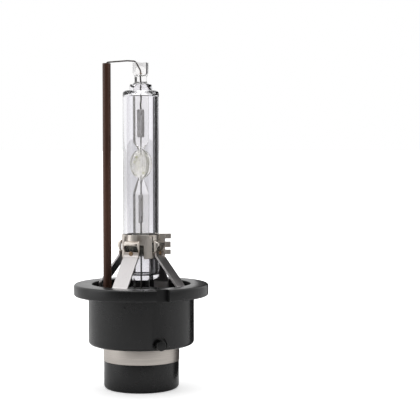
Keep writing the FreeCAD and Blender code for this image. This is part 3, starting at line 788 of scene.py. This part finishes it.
def make_clamp_sheet():
    """Pressed band with its holes behind the hoods, gaps beside them, tongues and slits."""
    bm = bmesh.new()
    columns = list(HOOD_COLUMNS) + list(TONGUE_COLUMNS) + [SLIT_END]
    for node, azimuth in LEG_AZIMUTHS.items():
        grid = []
        for offset in columns:
            line = []
            for height in CLAMP_ROWS:
                reach = CLAMP_OUTER
                if offset in TONGUE_COLUMNS[-2:] and height < SLIT_TOP:
                    reach += TONGUE_CURL * (0.25 if offset == TONGUE_COLUMNS[-2] else 1.0)
                line.append(bm.verts.new(around(azimuth + offset, reach * MM, height * MM)))
            grid.append(line)
        for column in range(len(columns) - 1):
            start = columns[column]
            in_hood = start < HOOD_COLUMNS[-1]
            in_gap = start == HOOD_COLUMNS[-1] and node != "rear_leg"
            in_slit = start == TONGUE_COLUMNS[-1]
            for row in range(len(CLAMP_ROWS) - 1):
                top, bottom = CLAMP_ROWS[row], CLAMP_ROWS[row + 1]
                is_open = ((in_gap and top <= GAP_TOP) or (in_slit and top <= SLIT_TOP)
                           or (in_hood and node != "rear_leg"
                               and top <= HOLE_TOP and bottom >= HOLE_BOTTOM))
                if not is_open:
                    bm.faces.new((grid[column][row], grid[column + 1][row],
                                  grid[column + 1][row + 1], grid[column][row + 1]))
    return sheet_metal("clamp_sheet", bm, CLAMP_SHEET, 2)


def sheet_metal(name, bm, thickness, levels):
    """Clamp piece from a single outer skin: thickened inwards, with softly broken edges."""
    bmesh.ops.remove_doubles(bm, verts=bm.verts, dist=1e-6)
    bmesh.ops.delete(bm, geom=[v for v in bm.verts if not v.link_faces], context="VERTS")
    bm.normal_update()
    outward = sum(face.normal.xy.dot(face.calc_center_median().xy) for face in bm.faces)
    if outward < 0:
        bmesh.ops.reverse_faces(bm, faces=bm.faces)
    mesh = bpy.data.meshes.new(name)
    bm.to_mesh(mesh)
    bm.free()
    piece = new_piece(name, mesh, CLAMP, True, ("clamp_ring",))
    sheet = piece.modifiers.new("sheet", "SOLIDIFY")
    sheet.thickness = thickness * MM
    sheet.offset = -1.0
    sheet.edge_crease_rim = 0.8
    sheet.edge_crease_outer = 0.8
    sheet.edge_crease_inner = 0.8
    rounded = piece.modifiers.new("rounded", "SUBSURF")
    rounded.levels = levels
    rounded.render_levels = levels
    return piece


HOOD_HALF_WIDTH, HOOD_FRONT, HOOD_BACK, HOOD_CORNER = 1.93, 5.38, 4.2, 0.6
HOOD_ROOF, HOOD_LIP, HOOD_HEEL = 10.0, 8.93, 7.35
HOOD_PROFILE = (                # share of the height, share of the reach, from the lip to the roof
    (0.0, 1.0), (0.1, 1.0), (0.3, 0.99), (0.48, 0.95), (0.63, 0.84), (0.75, 0.62), (0.86, 0.36),
    (1.0, 0.1))


def make_hoods():
    """Four pressed hoods that swell out of the band to a lip over each strap."""
    plan = []                       # (radial, tangential, outward normal) round the hood
    for radial in (HOOD_BACK, 4.55, HOOD_FRONT - HOOD_CORNER):
        plan.append((radial, -HOOD_HALF_WIDTH, (0.0, -1.0)))
    for step in range(1, 6):
        angle = math.radians(-90.0 + 90.0 * step / 5.0)
        turn = (math.cos(angle), math.sin(angle))
        plan.append((HOOD_FRONT - HOOD_CORNER + HOOD_CORNER * turn[0],
                     -HOOD_HALF_WIDTH + HOOD_CORNER + HOOD_CORNER * turn[1], turn))
    middle = HOOD_HALF_WIDTH - HOOD_CORNER
    for share in (-0.6, -0.2):
        plan.append((HOOD_FRONT, share * middle, (1.0, 0.0)))
    plan += [(radial, -side, (turn[0], -turn[1])) for radial, side, turn in reversed(plan)]
    bm = bmesh.new()
    for azimuth in LEG_AZIMUTHS.values():
        grid = []
        for radial, side, turn in plan:
            forward = (radial - 4.6) / (HOOD_FRONT - 4.6)
            forward = min(1.0, max(0.0, forward))
            low = HOOD_HEEL + (HOOD_LIP - HOOD_HEEL) * forward ** 0.8
            line = []
            for rise, reach in HOOD_PROFILE:
                line.append((HOOD_BACK + (radial - HOOD_BACK) * reach,
                             side * (0.92 + 0.08 * reach), low + (HOOD_ROOF - low) * rise))
            grid.append([bm.verts.new((r * MM, t * MM, z * MM)) for r, t, z in line])
        made = [vertex for line in grid for vertex in line]
        for one, two in zip(grid, grid[1:]):
            for row in range(len(one) - 1):
                bm.faces.new((one[row], two[row], two[row + 1], one[row + 1]))
        bmesh.ops.transform(bm, matrix=facing(azimuth), verts=made)
    return sheet_metal("clamp_hoods", bm, 0.24, 1)


EAR_AZIMUTH = 97.0


def make_clamp_ear():
    """Closing ear: two plates back to back, with three teeth on their outer edge."""
    bm = bmesh.new()
    blocks = [(4.2, 5.5, 0.5, 6.3, 11.4), (5.4, 6.86, 0.3, 10.2, 11.4), (5.4, 6.78, 0.3, 8.2, 9.55),
              (5.4, 6.8, 0.3, 6.6, 7.7)]
    for inner, outer, width, bottom, top in blocks:
        part = cutter_box(inner, outer, width, bottom, top, EAR_AZIMUTH)
        mesh = bpy.data.meshes.new("ear_block")
        part.to_mesh(mesh)
        part.free()
        bm.from_mesh(mesh)
    mesh = bpy.data.meshes.new("clamp_ear")
    bmesh.ops.recalc_face_normals(bm, faces=bm.faces)
    bm.to_mesh(mesh)
    bm.free()
    piece = new_piece("clamp_ear", mesh, CLAMP, True, ("clamp_ring",))
    return bevelled(piece, 0.07 * MM, 3)


def make_weld_spots():
    """A low round weld nugget on each strap, with a sunken heart."""
    nugget = soften([(0.0, 0.06, 0.0), (0.2, 0.07, 0.08), (0.34, 0.16, 0.1), (0.5, 0.1, 0.1),
                     (0.56, -0.05, 0.0), (0.0, -0.05, 0.0)], 4)
    one = turned_mesh("nugget", [(r * MM, z * MM) for r, z in nugget], 40)
    whole = bmesh.new()
    lay = Matrix.Rotation(math.radians(90.0), 4, "Y")
    for azimuth in LEG_AZIMUTHS.values():
        copy = one.copy()
        place = Vector((LEG_INNER + LEG_THICK, 0.0, WELD_HEIGHT)) * MM
        copy.transform(facing(azimuth) @ Matrix.Translation(place) @ lay)
        whole.from_mesh(copy)
    mesh = bpy.data.meshes.new("nuggets")
    whole.to_mesh(mesh)
    whole.free()
    return new_piece("nuggets", mesh, WELD, True, ("weld_spots",))


WELD_HEIGHT = 7.12


# ---------------------------------------------------------------- metal inside the glass

def foil_strip(name, node, low, high, width, azimuth, fold):
    """Thin sealing foil with feathered ends and a shallow fold along its middle."""
    bm = bmesh.new()
    rows, across = 28, 8
    grid = []
    for row in range(rows + 1):
        share = row / rows
        height = low + (high - low) * share
        feather = min(1.0, 0.8 + 6.0 * min(share, 1.0 - share))
        line = []
        for column in range(across + 1):
            side = column / across - 0.5
            ripple = 0.02 * math.sin(share * 21.0 + side * 5.0)
            depth = fold * (0.25 - abs(side)) + ripple
            line.append(bm.verts.new((depth * MM, side * width * feather * MM, height * MM)))
        grid.append(line)
    for row in range(rows):
        for column in range(across):
            bm.faces.new((grid[row][column], grid[row][column + 1],
                          grid[row + 1][column + 1], grid[row + 1][column]))
    bm.transform(facing(azimuth))
    mesh = bpy.data.meshes.new(name)
    bm.to_mesh(mesh)
    bm.free()
    piece = new_piece(name, mesh, FOIL, True, (node,))
    sheet = piece.modifiers.new("sheet", "SOLIDIFY")
    sheet.thickness = 0.04 * MM
    sheet.offset = 0.0
    return piece


def wire_piece(name, node, points, radius, material, tip=0.0, resolution=8):
    """Round wire along a smooth path of points in millimetres."""
    curve = bpy.data.curves.new(name, "CURVE")
    curve.dimensions = "3D"
    curve.bevel_depth = radius * MM
    curve.bevel_resolution = resolution
    curve.use_fill_caps = True
    spline = curve.splines.new("POLY")
    spline.points.add(len(points) - 1)
    for point, place in zip(spline.points, points):
        point.co = (*(Vector(place) * MM), 1.0)
    holder = bpy.data.objects.new(name + "_curve", curve)
    bpy.context.scene.collection.objects.link(holder)
    bpy.context.view_layer.update()
    graph = bpy.context.evaluated_depsgraph_get()
    mesh = bpy.data.meshes.new_from_object(holder.evaluated_get(graph))
    bpy.data.objects.remove(holder)
    return new_piece(name, mesh, material, True, (node,) if node else ())


WIRE_AZIMUTH, WIRE_OFFSET, WIRE_RADIUS = -68.0, 8.1, 0.17


def make_return_wire():
    """One wire: out of the base, up the ceramic tube, over the top and down to the tip."""
    route = soften([(WIRE_OFFSET, -16.4, 0.0), (WIRE_OFFSET, 50.2, 0.45), (3.2, 50.68, 6.0),
                    (1.30, 50.62, 0.7), (0.12, 48.6, 0.9), (0.0, 48.0, 0.0)], 8)
    points = [around(WIRE_AZIMUTH, r, z) for r, z in route]
    return wire_piece("return_run", "return_wire", points, WIRE_RADIUS, WIRE)


def make_sealed_metal():
    """Foils, electrodes and lead wires inside the burner."""
    foil_strip("foil_upper", "upper_foil", 33.4, 39.7, 1.5, UPPER_FOIL_AZIMUTH, 0.5)
    foil_strip("foil_lower", "lower_foil", 13.9, 20.3, 1.5, LOWER_FOIL_AZIMUTH, 0.4)
    wire_piece("electrode_low", "lower_electrode",
               [(0, 0, 18.9), (0, 0, 24.7), (0, 0, 25.0)], 0.12, TUNGSTEN)
    wire_piece("electrode_high", "upper_electrode",
               [(0, 0, 29.2), (0, 0, 29.5), (0, 0, 34.8)], 0.12, TUNGSTEN)
    sway = []
    for step in range(25):
        height = 38.4 + (47.7 - 38.4) * step / 24.0
        sway.append((0.05 * math.sin(step * 0.8), 0.03 * math.sin(step * 0.6),
                     height))
    wire_piece("lead_high", "upper_lead_wire", sway, 0.14, LEAD)
    wire_piece("lead_low", "lower_lead_wire", [(0, 0, -21.5), (0, 0, 15.4)], 0.15, LEAD)


UPPER_FOIL_AZIMUTH, LOWER_FOIL_AZIMUTH = 38.0, 62.0


def blob(centre, size, azimuth, seed, segments=20):
    """Flattened lump facing an azimuth; size is (depth, width, height) in millimetres."""
    bm = bmesh.new()
    bmesh.ops.create_uvsphere(bm, u_segments=segments, v_segments=segments // 2, radius=1.0)
    for vertex in bm.verts:
        lump = 1.0 + 0.22 * noise.noise(vertex.co * 1.7 + Vector((seed, 0.0, 0.0)))
        vertex.co = vertex.co * lump
    bm.transform(Matrix.Translation(centre) @ facing(azimuth)
                 @ Matrix.Diagonal((size[0] * MM, size[1] * MM, size[2] * MM, 1.0)))
    return bm


SALT_PATCHES = (        # azimuth, height, width, tallness in millimetres
    (-42.0, 28.75, 0.36, 0.30), (-58.0, 27.7, 0.30, 0.36), (-36.0, 28.1, 0.16, 0.14),
    (150.0, 25.4, 0.45, 0.3),
)


def make_salt():
    """Halide salt stuck on the wall of the chamber in uneven patches."""
    whole = bmesh.new()
    for seed, (azimuth, height, width, tall) in enumerate(SALT_PATCHES):
        lift = (height - BULB_CENTRE) / CHAMBER_HALF
        wall = CHAMBER_RADIUS * math.sqrt(1.0 - lift * lift)
        part = blob(around(azimuth, (wall - 0.08) * MM, height * MM), (0.09, width, tall),
                    azimuth, 3.1 * seed)
        mesh = bpy.data.meshes.new("salt_patch")
        part.to_mesh(mesh)
        part.free()
        whole.from_mesh(mesh)
    mesh = bpy.data.meshes.new("salt_patches")
    whole.to_mesh(mesh)
    whole.free()
    return new_piece("salt_patches", mesh, SALT, True, ("halide_salt",))


def make_beads():
    """Small fused beads on the wire ends."""
    for name, node, height, size in (("bead_tip", "tip_weld", 47.9, 0.30),
                                     ("bead_centre", "centre_weld", -21.62, 0.42)):
        part = blob(Vector((0.0, 0.0, height * MM)), (size, size, size * 0.7), 0.0, 5.0)
        mesh = bpy.data.meshes.new(name)
        part.to_mesh(mesh)
        part.free()
        new_piece(name, mesh, WELD, True, (node,))


# ---------------------------------------------------------------- camera, light and floor

CAMERA_AT = Vector((15.75, -280.0, 31.0)) * MM
CAMERA_AIM = Vector((15.75, 0.0, 16.8)) * MM
LENS = 105.1                    # millimetres on a 36 mm sensor


def make_camera():
    camera = bpy.data.objects.new("camera", bpy.data.cameras.new("camera"))
    camera.data.lens = LENS
    camera.data.sensor_width = 36.0
    camera.data.clip_start = 0.01
    camera.data.clip_end = 20.0
    camera.location = CAMERA_AT
    camera.rotation_mode = "QUATERNION"
    camera.rotation_quaternion = (CAMERA_AIM - CAMERA_AT).to_track_quat("-Z", "Y")
    bpy.context.scene.collection.objects.link(camera)
    bpy.context.scene.camera = camera


def make_world():
    """White studio: full behind the lamp and dimmer towards the camera's side."""
    world = bpy.data.worlds.new("studio")
    world.use_nodes = True
    bpy.context.scene.world = world
    tree = world.node_tree
    tree.nodes.clear()
    output = tree.nodes.new("ShaderNodeOutputWorld")
    direction = tree.nodes.new("ShaderNodeTexCoord")
    split = tree.nodes.new("ShaderNodeSeparateXYZ")
    tree.links.new(direction.outputs["Generated"], split.inputs["Vector"])
    depth = tree.nodes.new("ShaderNodeValToRGB")
    elements = depth.color_ramp.elements
    while len(elements) < len(STUDIO_RAMP):
        elements.new(0.5)
    for element, (place, value) in zip(elements, STUDIO_RAMP):
        element.position = place
        element.color = (value, value, value, 1.0)
    half = tree.nodes.new("ShaderNodeMath")         # from -1..1 to 0..1
    half.operation = "MULTIPLY_ADD"
    half.inputs[1].default_value = 0.5
    half.inputs[2].default_value = 0.5
    tree.links.new(split.outputs["Y"], half.inputs[0])
    tree.links.new(half.outputs["Value"], depth.inputs["Fac"])
    inside = tree.nodes.new("ShaderNodeBackground")
    tree.links.new(depth.outputs["Color"], inside.inputs["Color"])
    backdrop = tree.nodes.new("ShaderNodeBackground")
    backdrop.inputs["Color"].default_value = (1.0, 1.0, 1.0, 1.0)
    seen = tree.nodes.new("ShaderNodeLightPath")
    blend = tree.nodes.new("ShaderNodeMixShader")
    tree.links.new(seen.outputs["Is Camera Ray"], blend.inputs["Fac"])
    tree.links.new(inside.outputs["Background"], blend.inputs[1])
    tree.links.new(backdrop.outputs["Background"], blend.inputs[2])
    tree.links.new(blend.outputs["Shader"], output.inputs["Surface"])


# Brightness of the studio from the camera's side (0) to straight behind the lamp (1).
STUDIO_RAMP = ((0.0, 0.05), (0.12, 0.19), (0.30, 0.50), (0.62, 0.88), (0.80, 1.0))


def soft_light(name, place, aim, width, height, power):
    """Large softbox aimed at a point."""
    light = bpy.data.lights.new(name, "AREA")
    light.shape = "RECTANGLE"
    light.size = width
    light.size_y = height
    light.energy = power
    lamp = bpy.data.objects.new(name, light)
    lamp.location = place
    lamp.rotation_mode = "QUATERNION"
    lamp.rotation_quaternion = (Vector(aim) - Vector(place)).to_track_quat("-Z", "Y")
    bpy.context.scene.collection.objects.link(lamp)
    return lamp


def make_lights():
    middle = (0.0, 0.0, 0.012)
    soft_light("softbox_left", (-0.42, -0.10, 0.16), middle, 0.30, 0.42, 0.55)
    soft_light("softbox_right", (0.40, -0.26, 0.20), middle, 0.16, 0.36, 0.16)
    soft_light("softbox_top", (-0.02, 0.06, 0.50), middle, 0.5, 0.5, 1.1)


GLOW_THROUGH_GLASS = 0.15       # share of the floor's camera glow that glass lets through


def make_floor():
    """Pale floor under the lamp: it shades like paper, is painted darker in front as shade for what
    the lamp reflects, and lifts to white where it is seen.
    """
    size = 60.0
    height = cad_low.z
    mesh = bpy.data.meshes.new("floor")
    mesh.from_pydata([(-size, -size, height), (size, -size, height), (size, size, height),
                      (-size, size, height)], [], [(0, 1, 2, 3)])
    floor = bpy.data.objects.new("floor", mesh)
    bpy.context.scene.collection.objects.link(floor)
    shader = Shader("pale_floor")
    surface = shader.principled(Roughness=0.9)
    split = shader.add("ShaderNodeSeparateXYZ")
    shader.link(shader.place, split.inputs["Vector"])
    # painted shade: the floor's colour drops in front of the lamp, so reflections of the camera side
    # come out dim
    front = shader.add("ShaderNodeMapRange")
    for key, value in (("From Min", -0.13), ("From Max", -0.06), ("To Min", 0.22), ("To Max", 0.82)):
        front.inputs[key].default_value = value
    shader.link(split.outputs["Y"], front.inputs["Value"])
    shader.link(front.outputs["Result"], surface.inputs["Base Color"])
    surface.inputs["Emission Color"].default_value = (1.0, 1.0, 1.0, 1.0)
    away = shader.add("ShaderNodeVectorMath", operation="LENGTH")
    shader.link(shader.place, away.inputs[0])
    glow = shader.add("ShaderNodeMapRange")
    for key, value in (("From Min", 0.07), ("From Max", 0.16), ("To Min", 0.50), ("To Max", 0.95)):
        glow.inputs[key].default_value = value
    shader.link(away.outputs["Value"], glow.inputs["Value"])
    ray = shader.add("ShaderNodeLightPath")
    through = shader.add("ShaderNodeMath", operation="MULTIPLY")
    through.inputs[1].default_value = GLOW_THROUGH_GLASS
    shader.link(ray.outputs["Is Transmission Ray"], through.inputs[0])
    seen = shader.add("ShaderNodeMath", operation="MAXIMUM")
    shader.link(ray.outputs["Is Camera Ray"], seen.inputs[0])
    shader.link(through.outputs["Value"], seen.inputs[1])
    lift = shader.add("ShaderNodeMath", operation="MULTIPLY")
    shader.link(seen.outputs["Value"], lift.inputs[0])
    shader.link(glow.outputs["Result"], lift.inputs[1])
    shader.link(lift.outputs["Value"], surface.inputs["Emission Strength"])
    mesh.materials.append(shader.material)


def make_flag():
    """Dark upright board at the right, seen only in gloss and through glass."""
    corners = [(15.7, 0.7), (16.7, 0.7), (13.0, 45.0), (12.0, 45.0)]
    bottom, top = cad_low.z + 0.5 * MM, 55.0 * MM
    vertices = [(x * MM, y * MM, z) for z in (bottom, top) for x, y in corners]
    faces = [(0, 1, 2, 3), (4, 5, 6, 7), (0, 1, 5, 4), (1, 2, 6, 5), (2, 3, 7, 6), (3, 0, 4, 7)]
    mesh = bpy.data.meshes.new("flag")
    mesh.from_pydata(vertices, [], faces)
    flag = bpy.data.objects.new("flag", mesh)
    bpy.context.scene.collection.objects.link(flag)
    shader = Shader("flag_black")
    surface = shader.principled(Roughness=0.9)
    surface.inputs["Base Color"].default_value = (0.01, 0.01, 0.01, 1.0)
    mesh.materials.append(shader.material)
    flag.visible_camera = False
    flag.visible_diffuse = False
    flag.visible_shadow = False


dress_cad_nodes()
make_camera()
make_world()
make_lights()
make_floor()
make_flag()
make_envelope()
make_arc_tube()
make_rear_cap()
make_band()
make_ceramic_tube()
make_sleeve()
make_centre_contact()
make_base_shell()
make_bayonet_pins()
make_legs()
make_clamp_sheet()
make_hoods()
make_clamp_ear()
make_weld_spots()
make_return_wire()
make_sealed_metal()
make_salt()
make_beads()
bpy.context.scene.view_settings.view_transform = "Standard"
